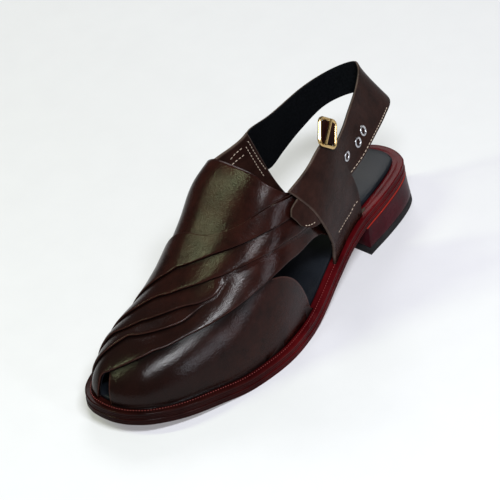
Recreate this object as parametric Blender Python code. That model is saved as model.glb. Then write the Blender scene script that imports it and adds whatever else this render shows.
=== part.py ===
import math

import bmesh
import bpy
import numpy as np
from mathutils import Matrix, Vector

# Peshawari chappal, left shoe. Sizes are millimetres until the last step: x from the back of the
# sole to the toe, y to the outer side, z up from the floor.
MM = 0.001
HEEL_CENTRE = 32.0
GAP = 0.3

# Sole: x, y of its outer edge, y of its inner edge
OUTLINE = [
    (0, 4, -4), (2, 11, -11.5), (6, 17, -18), (18, 22.5, -26), (40, 27, -30.5), (70, 30.5, -30),
    (105, 37, -27.5), (140, 46.5, -33), (175, 53, -43.5), (205, 51, -50), (235, 43.5, -50),
    (260, 34.5, -44), (280, 22.5, -35.5), (289, 11, -28), (293, 1, -20), (294, -6, -13)]
# x, height of the outsole's underside
UNDERSIDE = [
    (0, 27.5), (64, 23.5), (84, 19.5), (104, 12), (128, 4.6), (152, 0), (212, 0), (240, 3.2),
    (262, 5.6), (282, 8.6), (295, 9.6)]
OUTSOLE_THICK = 4.6
MIDSOLE_THICK = 4.7
EDGE_CHAMFER = 0.7
MIDSOLE_STEP = 0.5
HEEL_BREAST = 65.0
HEEL_SPREAD = 0.4
HEEL_RAKE = 3.0
TOP_PIECE_THICK = 6.0
INSOLE_THICK = 3.0
INSOLE_INSET = 8.0
INSOLE_ROUND = 1.1

# Last: x, crown height, crown y, outer bulge, inner bulge, fullness of the section
LAST = [
    (55, 215, 0, 0.50, 0.50, 2.6), (80, 190, 0, 0.60, 0.60, 2.6), (100, 168, -1, 0.60, 0.65, 2.7),
    (120, 144, -4, 0.45, 0.80, 2.8), (140, 123, -7, 0.25, 0.85, 2.9), (155, 112, -9, 0.14, 0.80, 2.9),
    (175, 93, -10, 0.05, 0.28, 2.8), (190, 80, -10, 0.0, 0.04, 2.7), (205, 69, -10, 0.0, -0.12, 2.6),
    (220, 61, -10, 0.0, -0.16, 2.5), (240, 53.6, -10, 0.0, -0.12, 2.5), (256, 48.6, -10, 0.0, -0.02, 2.5)]
TOE_SLOPE = -0.3
FEATHER_INSET = 7.3
TOE_CENTRE = 256.0

# Edges of the strips on the unrolled last: column, x, y. Column 0 is on the inner welt and column
# 40 is under the outer quarter.
COLUMNS = 40
SLIT_COLUMN = 6
CUT_COLUMN = 30
WELT_LINE = [
    (6, 290, -4.5), (8, 288, 5), (10, 283, 14), (13, 271, 26), (16, 256, 33), (21, 224, 43),
    (25, 191, 48), (30, 139.5, 41)]
STRIP_1 = [
    (0, 285.5, -15.2), (3, 279, -14.2), (4, 275, -14), (5, 272.5, -12.9), (6, 270.5, -10.4),
    (10, 252.6, 2.3), (13, 235.8, 8), (16, 219.6, 13.4), (21, 201, 19.3), (25, 190.3, 22.4),
    (30, 177.3, 25.2), (35, 148, 28.4), (40, 110, 28)]
STRIP_2 = [
    (0, 277.5, -30.5), (3, 269.5, -22.5), (6, 261.5, -15), (10, 244.6, -4), (13, 229.2, 2.9),
    (16, 215.2, 5.4), (18, 206, 8.9), (21, 195.4, 9.5), (25, 180.5, 15.8), (30, 161.3, 22.4),
    (35, 137.8, 26), (40, 109, 27.1)]
STRIP_3 = [
    (0, 268, -35.5), (3, 260, -25.5), (6, 253, -15), (10, 237, -7.9), (13, 223.7, -1.6),
    (16, 214.2, 4.4), (18, 205.3, 7.9), (21, 194.8, 8.7), (25, 180, 15.1), (30, 161, 21.8),
    (35, 137.7, 25.4), (40, 109.5, 26.5)]
STRIP_4 = [
    (0, 256, -39.5), (3, 247, -29), (6, 236.8, -18), (10, 225.1, -11.3), (13, 214.8, -6.2),
    (16, 204.9, -0.1), (18, 200, 2.8), (21, 193.2, 7.4), (25, 179.3, 14.3), (30, 160.8, 21.2),
    (35, 137.6, 24.7), (40, 110, 25.9)]
STRIP_5 = [
    (0, 233, -44.5), (3, 226, -33), (6, 217, -20), (10, 208.8, -12.7), (13, 200.2, -8.8),
    (16, 191.6, -3.4), (21, 178.9, 5.3), (25, 168.4, 11), (30, 153.1, 16.9), (35, 137, 19.5),
    (40, 120, 21.3)]
STRIP_5_TOP = [
    (0, 202, -45), (3, 194, -31), (6, 186.8, -16.6), (10, 182.9, -7.9), (13, 177.2, -2.5),
    (16, 170.5, 2.1), (21, 158.8, 7.3), (25, 148.8, 10.6), (30, 137.9, 14), (35, 130, 16.2),
    (40, 122, 17.6)]
COLLAR = [
    (0, 118, -22), (3, 128, -19.5), (6, 139, -17), (10, 146.5, -12), (13, 146.5, -7.5), (16, 146, -2),
    (21, 145.5, 4.5), (25, 143.5, 8.6), (30, 140.5, 12), (35, 134, 15.2), (40, 126, 16.6)]
WALL_TUCKED = 1.2
WALL_EDGE = 2.7
WALL_PLAIN = 1.8
TUCK = 0.35
STRIP_2_END = 16
STRIP_3_END = 20

# Outer quarter on the unrolled last: share of the way up (or forward), x, y
QUARTER_FOOT = [(0, 58, 24), (0.5, 80, 28), (1, 99, 32)]
QUARTER_HEAD = [(0, 97, 19.3), (0.3, 110, 14.1), (0.65, 126, 13.2), (1, 140, 11.8)]
QUARTER_BACK = [(0, 58, 24), (0.15, 64, 22.6), (0.4, 74, 21.9), (0.6, 80, 21.3), (1, 97, 19.3)]
QUARTER_FRONT = [(0, 99, 32), (0.2, 107, 29.4), (0.4, 116, 28.6), (0.6, 126, 25.5), (0.8, 136, 17.2),
                 (1, 140, 11.8)]
QUARTER_WALL = 2.4
# share of the way up, distance the quarter stands off the last
QUARTER_STAND = [(0, 0.3), (0.15, 1.6), (0.3, 4.6), (0.45, 5.8), (1, 5.8)]

# Inner quarter on the unrolled last
INNER_FOOT = [(0, 62, -25), (0.5, 88, -25), (1, 112, -25)]
INNER_HEAD = [(0, 107, -13.2), (0.4, 119, -14.2), (1, 139, -15.3)]
INNER_BACK = [(0, 62, -25), (0.35, 82, -21.0), (0.6, 92, -18.4), (1, 107, -13.2)]
INNER_FRONT = [(0, 112, -25), (0.4, 124, -21), (0.7, 134, -18.5), (1, 139, -15.3)]
INNER_WALL = 2.2
# share of the way up, distance the quarter stands off the last
INNER_STAND = [(0, 0.1), (0.08, 0.9), (0.2, 2.3), (1, 2.3)]

# Sling strap, sewn end on the unrolled last: x, y of the upper edge, of the lower edge
SEWN_END = [(109, -14.5, 97, -17.6), (101, -13.5, 87, -18.8)]
SEWN_STAND = 6.0
# Its free length: x, y, z of the upper edge, of the lower edge
SLING = [
    (76, -33, 103, 70, -31.5, 70.5),
    (49, -30, 107, 54, -29, 78), (30, -27, 108, 36, -25, 85), (17, -21, 110, 23, -16, 90),
    (10, -14, 111.5, 12, -8, 90), (12, -9, 111, 3, -1, 86), (20, -2, 112, 4, 8.5, 82.5),
    (36, 8, 112, 21.5, 18, 84), (58, 20, 113.5, 46, 27.5, 85), (74, 27.5, 112, 62, 30.5, 81)]
# Its tail inside the outer quarter, on the unrolled last: x, y of the upper edge, of the lower edge
TAIL = [(99, 18.2, 82, 21.8), (112, 16.4, 96, 23.6), (126, 15.8, 110, 24.8), (136, 16.9, 122, 25.6),
        (141.5, 17.9, 130, 25.0), (144, 19.2, 137, 23.4)]
STRAP_THICK = 2.0
TAIL_STAND = 4.2
STRAP_ROWS = 4
STRAP_STEPS = 3

# Eyelets: share of the strap's length from its inner end, share across from the upper edge
EYELETS = [("eyelet_1", 0.596, 0.60), ("eyelet_2", 0.632, 0.60), ("eyelet_3", 0.680, 0.57)]
HOLE_RADIUS = 2.6
EYELET_BORE = 1.6
EYELET_RIM = 4.0
EYELET_LIP = 0.7

# Buckle. The ends of the bar it hangs from: share of the way along the outer quarter's head,
# distance beyond that edge
HINGE = [(0.334, 1.15), (0.081, 0.45)]
HINGE_CLEAR = 2.6
HINGE_START = 1.0
BUCKLE_UP = (-0.66, -0.40, 0.64)
BUCKLE_WIDTH = 17.0
BUCKLE_HEIGHT = 17.5
BUCKLE_WIRE = 1.25
BUCKLE_CORNER_ROUND = 3.0
PRONG_WIRE = 1.0
# shares of the buckle's width at the prong's foot and tip
PRONG_SHARES = (0.20, 0.55)
TAB_THICK = 2.0

LEATHER = (0.045, 0.012, 0.009)
SOLE_RED = (0.075, 0.014, 0.012)
BLACK = (0.010, 0.010, 0.012)
BRASS = (0.60, 0.44, 0.22)
STEEL = (0.55, 0.55, 0.57)


for old in list(bpy.data.objects):
    bpy.data.objects.remove(old, do_unlink=True)
shoe = bpy.data.collections.new("peshawari_chappal")
tools = bpy.data.collections.new("cutters")
bpy.context.scene.collection.children.link(shoe)
bpy.context.scene.collection.children.link(tools)


def smooth(table, column, at):
    """Monotone cubic through one column of a table whose first column rises."""
    rows = np.array(table, float)
    xs, ys = rows[:, 0], rows[:, column]
    step = np.diff(xs)
    rise = np.diff(ys) / step
    slope = np.zeros(len(xs))
    slope[0], slope[-1] = rise[0], rise[-1]
    for i in range(1, len(xs) - 1):
        if rise[i - 1] * rise[i] > 0:
            slope[i] = 2 * rise[i - 1] * rise[i] / (rise[i - 1] + rise[i])
    at = np.clip(at, xs[0], xs[-1])
    i = np.clip(np.searchsorted(xs, at) - 1, 0, len(xs) - 2)
    u = (at - xs[i]) / step[i]
    return ((1 + 2 * u) * (1 - u) ** 2 * ys[i] + u * (1 - u) ** 2 * step[i] * slope[i]
            + u * u * (3 - 2 * u) * ys[i + 1] + u * u * (u - 1) * step[i] * slope[i + 1])


def outline(inset, count=720):
    """The sole's edge as a closed loop of plan points, moved inward."""
    outer = [(x, out) for x, out, inn in OUTLINE]
    inner = [(x, inn) for x, out, inn in reversed(OUTLINE)]
    p = np.array(outer + inner, float)
    q = np.vstack([p, p[:1]])
    gap = np.hypot(*np.diff(q, axis=0).T)
    s = np.concatenate([[0], np.cumsum(gap)])
    slope = (np.roll(p, -1, 0) - np.roll(p, 1, 0)) / (gap + np.roll(gap, 1))[:, None]
    slope = np.vstack([slope, slope[:1]])
    t = np.linspace(0, s[-1], count, endpoint=False)
    i = np.clip(np.searchsorted(s, t, side="right") - 1, 0, len(gap) - 1)
    h = gap[i][:, None]
    u = (t - s[i])[:, None] / h
    c = ((1 + 2 * u) * (1 - u) ** 2 * q[i] + u * (1 - u) ** 2 * h * slope[i]
         + u * u * (3 - 2 * u) * q[i + 1] + u * u * (u - 1) * h * slope[i + 1])
    d = np.roll(c, -1, 0) - np.roll(c, 1, 0)
    d /= np.hypot(*d.T)[:, None]
    return c + inset * np.c_[d[:, 1], -d[:, 0]]


def underside(x):
    return smooth(UNDERSIDE, 1, x)


SEAT = OUTSOLE_THICK + GAP + MIDSOLE_THICK
FEATHER = outline(FEATHER_INSET)


def reach(sx, sy, dx, dy):
    """How far the feather line lies from a point on the spine, in one direction."""
    a = FEATHER
    ex, ey = (np.roll(a, -1, 0) - a).T
    den = dx * ey - dy * ex
    den = np.where(abs(den) < 1e-9, 1e-9, den)
    t = ((a[:, 0] - sx) * ey - (a[:, 1] - sy) * ex) / den
    u = ((a[:, 0] - sx) * dy - (a[:, 1] - sy) * dx) / den
    return t[(t > 0) & (u >= -1e-6) & (u <= 1 + 1e-6)].min()


def last_point(x, y):
    """The last's surface over a point of its unrolled plan: sections straight across up to the
    toe's centre, then fanned round it."""
    sx = min(x, TOE_CENTRE)
    sy = smooth(LAST, 2, sx)
    away = math.hypot(x - sx, y - sy)
    ux, uy = ((x - sx) / away, (y - sy) / away) if away > 1e-6 else (0.0, 1.0)
    far = reach(sx, sy, ux, uy)
    angle = (1 - min(away / far, 1.0)) * math.pi / 2
    fullness = 2 / smooth(LAST, 5, sx)
    bulge = smooth(LAST, 3 if uy > 0 else 4, sx)
    across = far * math.cos(angle) ** fullness * (1 + bulge * math.sin(angle))
    px, py = sx + ux * across, sy + uy * across
    low = underside(px) + SEAT + GAP
    top = smooth(LAST, 1, sx) + TOE_SLOPE * max(px - TOE_CENTRE, 0.0)
    return np.array([px, py, low + (top - low) * math.sin(angle) ** fullness])


def on_last(x, y, stand):
    """The same point stood off the last by a distance; a plan point beyond the feather line is
    brought back to it and takes its direction from just inside."""
    step = 0.2
    sx = min(x, TOE_CENTRE)
    spine = smooth(LAST, 2, sx)
    away = math.hypot(x - sx, y - spine)
    ux, uy = ((x - sx) / away, (y - spine) / away) if away > 1 else (0.0, 0.0)
    far = reach(sx, spine, ux, uy) if away > 1 else away
    held, inside = min(away, far), min(away, far - 2 * step)
    place = last_point(sx + ux * held, spine + uy * held) if away > 1 else last_point(x, y)
    x, y = (sx + ux * inside, spine + uy * inside) if away > 1 else (x, y)
    along = last_point(x + step, y) - last_point(x - step, y)
    low, high = (y - step, y) if y > spine else (y, y + step)
    across = last_point(x, high) - last_point(x, low)
    normal = np.cross(along, across)
    place = place + stand * normal / np.linalg.norm(normal)
    place[2] = max(place[2], underside(place[0]) + SEAT + GAP)
    return place


def material(name, colour, rough, metallic=0.0):
    mat = bpy.data.materials.new(name)
    mat.use_nodes = True
    shader = mat.node_tree.nodes["Principled BSDF"]
    shader.inputs["Base Color"].default_value = (*colour, 1)
    shader.inputs["Roughness"].default_value = rough
    shader.inputs["Metallic"].default_value = metallic
    return mat


def finish(name, bm, colour, rough, metallic=0.0, smooth_faces=False):
    """Turn a bmesh in millimetres into a named object with its own material."""
    bmesh.ops.recalc_face_normals(bm, faces=bm.faces)
    bmesh.ops.transform(bm, matrix=Matrix.Scale(MM, 4) @ Matrix.Translation((-HEEL_CENTRE, 0, 0)),
                        verts=bm.verts)
    mesh = bpy.data.meshes.new(name)
    bm.to_mesh(mesh)
    bm.free()
    obj = bpy.data.objects.new(name, mesh)
    shoe.objects.link(obj)
    mesh.materials.append(material(name, colour, rough, metallic))
    for face in mesh.polygons:
        face.use_smooth = smooth_faces
    return obj


def skin(bm, rings, closed_ring=True):
    """Faces between neighbouring rings of points, and a cap on each end of a closed ring."""
    verts = [[bm.verts.new(Vector(p)) for p in ring] for ring in rings]
    count = len(rings[0])
    for a, b in zip(verts, verts[1:]):
        for i in range(count if closed_ring else count - 1):
            j = (i + 1) % count
            bm.faces.new((a[i], a[j], b[j], b[i]))
    if closed_ring:
        bm.faces.new(verts[0])
        bm.faces.new(list(reversed(verts[-1])))
    return verts


def plate(name, inset, low, high, chamfer_low, chamfer_high, colour, rough, count=56):
    """A layer of the sole: cross sections from heel to toe between two heights over the underside."""
    loop = outline(inset)
    back, front = int(loop[:, 0].argmin()), int(loop[:, 0].argmax())
    loop = np.roll(loop, -back, 0)
    front = (front - back) % len(loop)
    outer, inner = loop[:front + 1], loop[front:][::-1]
    x0, x1 = loop[:, 0].min() + 0.12, loop[:, 0].max() - 0.12
    rings = []
    for k in range(count + 1):
        x = x0 + (x1 - x0) * (1 - math.cos(math.pi * k / count)) / 2
        yo = np.interp(x, outer[:, 0], outer[:, 1])
        yi = np.interp(x, inner[:, 0], inner[:, 1])
        z0, z1 = underside(x) + low, underside(x) + high
        side = min((yo - yi) / 3, 1.0)
        cl, ch = chamfer_low * side, chamfer_high * side
        rings.append([
            (x, yo - cl, z0), (x, yo, z0 + cl), (x, yo, z1 - ch), (x, yo - ch, z1),
            (x, yi + ch, z1), (x, yi, z1 - ch), (x, yi, z0 + cl), (x, yi + cl, z0)])
    bm = bmesh.new()
    skin(bm, rings)
    return finish(name, bm, colour, rough)


def heel_part(name, low, high, spread_low, spread_high, colour, rough):
    """A layer of the heel between two heights, its back raked out and its breast flat across."""
    rings = []
    for spread, level in ((spread_low, low), (spread_high, high)):
        loop = outline(-spread * HEEL_SPREAD, 120)
        loop = np.roll(loop, -int(loop[:, 0].argmin()), 0)
        half = len(loop) // 2
        outer = [tuple(p) for p in loop[:half] if p[0] < HEEL_BREAST - 2]
        inner = [tuple(p) for p in loop[half:] if p[0] < HEEL_BREAST - 2]
        breast = [(HEEL_BREAST, np.interp(HEEL_BREAST, *loop[:half].T)),
                  (HEEL_BREAST, np.interp(HEEL_BREAST, *loop[half:][::-1].T))]
        rings.append([(x - spread * HEEL_RAKE * (1 - x / HEEL_BREAST), y, level(x))
                      for x, y in outer + breast + inner])
    bm = bmesh.new()
    skin(bm, rings)
    return finish(name, bm, colour, rough)


def sheet(name, rows, stands, colour, rough):
    """A hollow wall from rows of plan points: stands holds, for each point, the distances of its
    inner and outer faces from the last; None leaves a point out."""
    bm = bmesh.new()
    faces = ([], [])
    for row, stand in zip(rows, stands):
        for side in (0, 1):
            faces[side].append([None if s is None else bm.verts.new(Vector(on_last(*p, s[side])))
                                for p, s in zip(row, stand)])
    edges = {}
    for r in range(len(rows) - 1):
        for c in range(len(rows[0]) - 1):
            cell = ((r, c), (r, c + 1), (r + 1, c + 1), (r + 1, c))
            if any(stands[i][j] is None for i, j in cell):
                continue
            bm.faces.new([faces[1][i][j] for i, j in cell])
            bm.faces.new([faces[0][i][j] for i, j in reversed(cell)])
            for a, b in zip(cell, cell[1:] + cell[:1]):
                edges[(a, b)] = edges.get((a, b), 0) + 1
    for a, b in edges:
        if (b, a) not in edges:
            bm.faces.new([faces[1][b[0]][b[1]], faces[1][a[0]][a[1]],
                          faces[0][a[0]][a[1]], faces[0][b[0]][b[1]]])
    return finish(name, bm, colour, rough)


# Heel and sole
heel_height = float(underside(0.0))
heel_part("heel_top_piece", lambda x: 0.0, lambda x: TOP_PIECE_THICK,
          1.0, 1 - TOP_PIECE_THICK / heel_height, BLACK, 0.6)
heel_part("heel_block", lambda x: TOP_PIECE_THICK + GAP, lambda x: underside(x) - GAP,
          1 - (TOP_PIECE_THICK + GAP) / heel_height, 0.0, SOLE_RED, 0.4)
plate("outsole", 0.0, 0.0, OUTSOLE_THICK, EDGE_CHAMFER, 0.3, SOLE_RED, 0.4)
plate("midsole", MIDSOLE_STEP, OUTSOLE_THICK + GAP, SEAT, 0.3, EDGE_CHAMFER, SOLE_RED, 0.4)
plate("insole", INSOLE_INSET, SEAT + GAP, SEAT + GAP + INSOLE_THICK, 0.2, INSOLE_ROUND, BLACK, 0.35)


# Upper: strips one over the other, all in one wall
def strip_line(table):
    return [(float(smooth(table, 1, c)), float(smooth(table, 2, c))) for c in range(COLUMNS + 1)]


def blend(one, two, share):
    return [(a[0] + (b[0] - a[0]) * share, a[1] + (b[1] - a[1]) * share) for a, b in zip(one, two)]


def tucked(edge, neighbour):
    """The lower strip's edge where it runs under the upper strip, a little toward its own side."""
    out = []
    for a, b in zip(edge, neighbour):
        away = math.hypot(b[0] - a[0], b[1] - a[1])
        share = min(TUCK / away, 0.4)
        out.append((a[0] + (b[0] - a[0]) * share, a[1] + (b[1] - a[1]) * share))
    return out


def fading(thick, end):
    """Wall along a strip's edge that dies out where the strip runs under the next one."""
    return [WALL_TUCKED + (thick - WALL_TUCKED) * min(max((end - c) / 2, 0.0), 1.0)
            for c in range(COLUMNS + 1)]


welt_line, strip_1, strip_2, strip_3, strip_4, strip_5, strip_5_top, collar = [
    strip_line(t) for t in (WELT_LINE, STRIP_1, STRIP_2, STRIP_3, STRIP_4, STRIP_5, STRIP_5_TOP, COLLAR)]
level = [WALL_EDGE] * (COLUMNS + 1)
thin = [WALL_TUCKED] * (COLUMNS + 1)
plain = [WALL_PLAIN] * (COLUMNS + 1)
fade_2 = fading(WALL_EDGE, STRIP_2_END)
fade_3 = fading(WALL_EDGE, STRIP_3_END)
# row from, row to, wall at its toe edge, wall at its heel edge, number of steps
panels = [
    (welt_line, tucked(strip_1, welt_line), plain, thin, 5),
    (strip_1, tucked(strip_2, strip_1), level, thin, 3),
    (strip_2, tucked(strip_3, strip_2), fade_2, thin, 2),
    (strip_3, tucked(strip_4, strip_3), fade_3, thin, 2),
    (strip_4, tucked(strip_5, strip_4), level, thin, 2),
    (strip_5, strip_5_top, level, level, 2),
    (tucked(strip_5_top, collar), collar, thin, plain, 6)]
rows, stands = [], []
for number, (near, far, thick_near, thick_far, steps) in enumerate(panels):
    for k in range(steps + 1):
        share = k / steps
        rows.append(blend(near, far, share))
        walls = [a + (b - a) * share for a, b in zip(thick_near, thick_far)]
        stands.append([None if number == 0 and not SLIT_COLUMN <= c <= CUT_COLUMN else (0.0, w)
                       for c, w in enumerate(walls)])
sheet("upper", rows, stands, LEATHER, 0.3)


# Quarters
def patch(foot, head, back, front, ups, forwards):
    """Rows of plan points filling the space between four edges."""
    def edge(table, t):
        return np.array([float(smooth(table, 1, t)), float(smooth(table, 2, t))])
    out = []
    for i in range(ups + 1):
        v = i / ups
        row = []
        for j in range(forwards + 1):
            u = j / forwards
            corners = ((1 - u) * (1 - v) * edge(foot, 0) + u * (1 - v) * edge(foot, 1)
                       + (1 - u) * v * edge(head, 0) + u * v * edge(head, 1))
            row.append(tuple((1 - v) * edge(foot, u) + v * edge(head, u) + (1 - u) * edge(back, v)
                             + u * edge(front, v) - corners))
        out.append(row)
    return out


UPS, FORWARDS = 12, 12


def quarter(name, edges, stand_table, wall):
    """A quarter whose distance from the last grows from its foot up."""
    low = [float(smooth(stand_table, 1, i / UPS)) for i in range(UPS + 1)]
    stands = [[(stand, stand + wall)] * (FORWARDS + 1) for stand in low]
    sheet(name, patch(*edges, UPS, FORWARDS), stands, LEATHER, 0.3)


quarter("quarter_outer", (QUARTER_FOOT, QUARTER_HEAD, QUARTER_BACK, QUARTER_FRONT),
        QUARTER_STAND, QUARTER_WALL)
quarter("quarter_inner", (INNER_FOOT, INNER_HEAD, INNER_BACK, INNER_FRONT), INNER_STAND, INNER_WALL)


# Sling strap
def edge_to_edge(station, stand):
    """Points across the strap where it lies against the last."""
    a, b = np.array(station[:2], float), np.array(station[2:], float)
    return [on_last(*(a + (b - a) * j / STRAP_ROWS), stand) for j in range(STRAP_ROWS + 1)]


stations = [edge_to_edge(s, SEWN_STAND) for s in SEWN_END]
for station in SLING:
    top, low = np.array(station[:3], float), np.array(station[3:], float)
    stations.append([top + (low - top) * j / STRAP_ROWS for j in range(STRAP_ROWS + 1)])
stations += [edge_to_edge(s, TAIL_STAND) for s in TAIL]
stations = np.array(stations)


def strap_middle(t, across):
    """A point of the strap's middle surface, at a share of its length and of its width."""
    count = len(stations) - 1
    place = min(max(t, 0.0), 1.0) * count
    i = min(int(place), count - 1)
    u = place - i
    p = [stations[min(max(i + k, 0), count)] for k in (-1, 0, 1, 2)]
    line = 0.5 * (2 * p[1] + (p[2] - p[0]) * u + (2 * p[0] - 5 * p[1] + 4 * p[2] - p[3]) * u * u
                  + (3 * p[1] - p[0] - 3 * p[2] + p[3]) * u ** 3)
    place = min(max(across, 0.0), 1.0) * STRAP_ROWS
    j = min(int(place), STRAP_ROWS - 1)
    return line[j] + (line[j + 1] - line[j]) * (place - j)


def strap_frame(t, across):
    """The same point and its outward direction."""
    reach_t, reach_a = 0.004, 0.12
    along = strap_middle(t + reach_t, across) - strap_middle(t - reach_t, across)
    down = strap_middle(t, across + reach_a) - strap_middle(t, across - reach_a)
    out = np.cross(along, down)
    return strap_middle(t, across), out / np.linalg.norm(out)


steps = STRAP_STEPS * (len(stations) - 1)
rings = []
for k in range(steps + 1):
    ring = []
    for side in (1, -1):
        shares = [j / STRAP_ROWS for j in range(STRAP_ROWS + 1)]
        for share in shares if side == 1 else reversed(shares):
            middle, out = strap_frame(k / steps, share)
            ring.append(middle + side * out * STRAP_THICK / 2)
    rings.append(ring)
bm = bmesh.new()
skin(bm, rings)
strap = finish("sling_strap", bm, LEATHER, 0.3)


# Eyelets
def turned(name, profile, place, colour, rough, metallic):
    """A ring spun round z from a closed profile of radius and height, then put in place."""
    bm = bmesh.new()
    verts = [bm.verts.new((r, 0, h)) for r, h in profile]
    loop = [bm.edges.new((verts[i], verts[(i + 1) % len(verts)])) for i in range(len(verts))]
    bmesh.ops.spin(bm, geom=verts + loop, cent=(0, 0, 0), axis=(0, 0, 1), angle=math.tau, steps=16,
                   use_merge=True)
    bmesh.ops.remove_doubles(bm, verts=bm.verts, dist=1e-4)
    bmesh.ops.transform(bm, matrix=place, verts=bm.verts)
    return finish(name, bm, colour, rough, metallic, True)


for name, t, across in EYELETS:
    centre, out = strap_frame(t, across)
    place = Matrix.Translation(Vector(centre)) @ Vector(out).to_track_quat("Z", "Y").to_matrix().to_4x4()
    cutter = bpy.data.meshes.new(name + "_hole")
    bm = bmesh.new()
    bmesh.ops.create_cone(bm, cap_ends=True, segments=16, radius1=HOLE_RADIUS, radius2=HOLE_RADIUS,
                          depth=5 * STRAP_THICK, matrix=place)
    bmesh.ops.transform(bm, matrix=Matrix.Scale(MM, 4) @ Matrix.Translation((-HEEL_CENTRE, 0, 0)),
                        verts=bm.verts)
    bm.to_mesh(cutter)
    bm.free()
    hole = bpy.data.objects.new(name + "_hole", cutter)
    tools.objects.link(hole)
    hole.hide_render = True
    hole.display_type = "WIRE"
    cut = strap.modifiers.new(name, "BOOLEAN")
    cut.operation = "DIFFERENCE"
    cut.solver = "EXACT"
    cut.object = hole
    face = STRAP_THICK / 2
    turned(name, [(EYELET_BORE, -face), (HOLE_RADIUS - GAP, -face), (HOLE_RADIUS - GAP, face + GAP),
                  (EYELET_RIM, face + GAP), (EYELET_RIM - 0.4, face + GAP + EYELET_LIP),
                  (EYELET_BORE, face + GAP + EYELET_LIP)], place, STEEL, 0.25, 1.0)

# Buckle
hinge_stand = QUARTER_STAND[-1][1] + QUARTER_WALL + HINGE_CLEAR
hinge = [Vector(on_last(float(smooth(QUARTER_HEAD, 1, share)),
                        float(smooth(QUARTER_HEAD, 2, share)) - beyond, hinge_stand))
         for share, beyond in HINGE]
along = (hinge[1] - hinge[0]).normalized()
up = (Vector(BUCKLE_UP) - along * Vector(BUCKLE_UP).dot(along)).normalized()
out = along.cross(up).normalized()
corner = hinge[0] + along * HINGE_START


def tube(name, points, radius, closed, colour, rough, metallic):
    """A round wire along points, in millimetres."""
    data = bpy.data.curves.new(name, "CURVE")
    data.dimensions = "3D"
    spline = data.splines.new("POLY")
    spline.points.add(len(points) - 1)
    for node, p in zip(spline.points, points):
        node.co = (*p, 1)
    spline.use_cyclic_u = closed
    data.bevel_depth = radius
    data.bevel_resolution = 2
    data.use_fill_caps = not closed
    wire = bpy.data.objects.new(name, data)
    tools.objects.link(wire)
    bpy.context.view_layer.update()
    mesh = bpy.data.meshes.new_from_object(wire.evaluated_get(bpy.context.evaluated_depsgraph_get()))
    bpy.data.objects.remove(wire, do_unlink=True)
    bm = bmesh.new()
    bm.from_mesh(mesh)
    bmesh.ops.remove_doubles(bm, verts=bm.verts, dist=1e-3)
    return finish(name, bm, colour, rough, metallic, True)


def rounded(inset):
    """The buckle's outline moved inward, as distances along its bar and up from it."""
    radius = BUCKLE_CORNER_ROUND - inset
    wide, high = BUCKLE_WIDTH / 2, BUCKLE_HEIGHT / 2
    points = []
    for sx, sy, start in ((1, 1, 0), (-1, 1, 90), (-1, -1, 180), (1, -1, 270)):
        for step in range(5):
            turn = math.radians(start + 90 * step / 4)
            points.append((wide + sx * (wide - BUCKLE_CORNER_ROUND) + radius * math.cos(turn),
                           high + sy * (high - BUCKLE_CORNER_ROUND) + radius * math.sin(turn)))
    return points


ring = [corner + along * a + up * b for a, b in rounded(0.0)]
tube("buckle_frame", ring, BUCKLE_WIRE, True, BRASS, 0.25, 1.0)
stand = BUCKLE_WIRE + GAP + PRONG_WIRE
foot, tip = PRONG_SHARES
prong = [corner + along * BUCKLE_WIDTH * (foot + (tip - foot) * k / 4) + up * BUCKLE_HEIGHT * k / 4
         + out * stand for k in range(5)]
tube("buckle_prong", prong, PRONG_WIRE, False, BRASS, 0.25, 1.0)
bm = bmesh.new()
skin(bm, [[corner + along * a + up * b + out * depth for a, b in rounded(BUCKLE_WIRE + GAP)]
          for depth in (-TAB_THICK / 2, TAB_THICK / 2)])
finish("buckle_tab", bm, LEATHER, 0.4)
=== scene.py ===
import math

import bmesh
import bpy
import numpy as np
from mathutils import Matrix, Vector


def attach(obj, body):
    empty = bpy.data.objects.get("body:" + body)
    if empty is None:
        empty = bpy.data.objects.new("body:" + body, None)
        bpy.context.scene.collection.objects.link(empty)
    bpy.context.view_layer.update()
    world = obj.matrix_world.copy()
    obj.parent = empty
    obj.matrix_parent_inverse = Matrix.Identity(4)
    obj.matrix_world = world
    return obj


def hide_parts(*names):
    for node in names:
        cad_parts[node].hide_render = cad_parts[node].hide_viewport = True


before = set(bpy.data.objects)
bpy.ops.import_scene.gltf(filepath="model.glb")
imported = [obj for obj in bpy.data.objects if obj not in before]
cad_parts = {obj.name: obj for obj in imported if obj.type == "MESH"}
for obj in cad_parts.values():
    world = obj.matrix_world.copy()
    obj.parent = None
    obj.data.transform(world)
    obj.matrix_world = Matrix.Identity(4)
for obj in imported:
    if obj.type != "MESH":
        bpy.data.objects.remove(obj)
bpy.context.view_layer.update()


# Heel: a black rubber top piece under a stack of leather lifts, sanded smooth, stained burgundy and
# waxed. It is nailed and cemented to the sole, and a thin orange-red line shows where they meet.
def smooth(table, column, at):
    """Monotone cubic through one column of a table whose first column rises."""
    table = np.array(table, float)
    xs, ys = table[:, 0], table[:, column]
    step = np.diff(xs)
    rise = np.diff(ys) / step
    slope = np.zeros(len(xs))
    slope[0], slope[-1] = rise[0], rise[-1]
    for i in range(1, len(xs) - 1):
        if rise[i - 1] * rise[i] > 0:
            slope[i] = 2 * rise[i - 1] * rise[i] / (rise[i - 1] + rise[i])
    at = np.clip(at, xs[0], xs[-1])
    i = np.clip(np.searchsorted(xs, at) - 1, 0, len(xs) - 2)
    u = (at - xs[i]) / step[i]
    return ((1 + 2 * u) * (1 - u) ** 2 * ys[i] + u * (1 - u) ** 2 * step[i] * slope[i]
            + u * u * (3 - 2 * u) * ys[i + 1] + u * u * (u - 1) * step[i] * slope[i + 1])


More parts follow.
